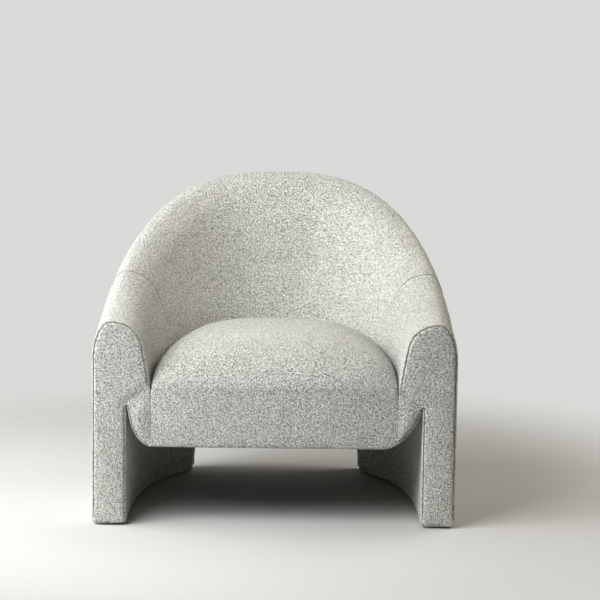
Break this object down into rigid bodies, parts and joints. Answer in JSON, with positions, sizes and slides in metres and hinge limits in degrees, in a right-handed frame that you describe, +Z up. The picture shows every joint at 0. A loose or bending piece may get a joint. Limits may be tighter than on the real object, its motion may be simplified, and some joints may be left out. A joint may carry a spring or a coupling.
{
  "type": "tub chair",
  "caption": "Low tub chair with a rounded back that sweeps down into rolled arms, slab legs, a crowned fixed seat and an arched opening at the rear.",
  "frame": {"origin": "on the floor, in the middle of the chair's bounding box", "axes": "+Z up, the sitter looks along -Y, +X is the viewer's right when facing the chair"},
  "size_m": [0.82, 0.75, 0.751],
  "materials": {
    "boucle": "looped boucle",
    "foam": "open-cell foam",
    "plywood": "sanded",
    "hardwood": "planed",
    "spring_steel": "drawn wire",
    "webbing": "woven",
    "dust_cloth": "non-woven",
    "glide": "moulded"
  },
  "bodies": {
    "root": {"seat_cover": "boucle", "inside_back_cover": "boucle", "arm_cover_left": "boucle", "arm_cover_right": "boucle", "outside_cover": "boucle", "arm_front_cover_left": "boucle", "arm_front_cover_right": "boucle", "leg_lining_left": "boucle", "leg_lining_right": "boucle", "rear_arch_cover": "boucle", "underside_cover_left": "boucle", "underside_cover_right": "boucle", "seat_foam": "foam", "back_foam": "foam", "arm_foam_left": "foam", "arm_foam_right": "foam", "base_plate_left": "plywood", "base_plate_right": "plywood", "arm_front_board_left": "plywood", "arm_front_board_right": "plywood", "side_rib_front_left": "plywood", "side_rib_rear_left": "plywood", "leg_end_rib_left": "plywood", "side_rib_front_right": "plywood", "side_rib_rear_right": "plywood", "leg_end_rib_right": "plywood", "back_upright_centre": "plywood", "back_upright_left": "plywood", "back_upright_right": "plywood", "arm_rail_left": "hardwood", "arm_rail_right": "hardwood", "back_top_rail": "hardwood", "curved_back_rail": "hardwood", "seat_front_rail": "hardwood", "seat_side_rail_left": "hardwood", "seat_side_rail_right": "hardwood", "seat_rear_rail": "hardwood", "corner_block_left": "hardwood", "corner_block_right": "hardwood", "seat_spring_1": "spring_steel", "seat_spring_2": "spring_steel", "seat_spring_3": "spring_steel", "seat_spring_4": "spring_steel", "spring_clip_front_1": "spring_steel", "spring_clip_front_2": "spring_steel", "spring_clip_front_3": "spring_steel", "spring_clip_front_4": "spring_steel", "spring_clip_rear_1": "spring_steel", "spring_clip_rear_2": "spring_steel", "spring_clip_rear_3": "spring_steel", "spring_clip_rear_4": "spring_steel", "back_webbing_1": "webbing", "back_webbing_2": "webbing", "dust_cloth": "dust_cloth", "glide_front_left": "glide", "glide_rear_left": "glide", "glide_front_right": "glide", "glide_rear_right": "glide"}
  },
  "joints": []
}
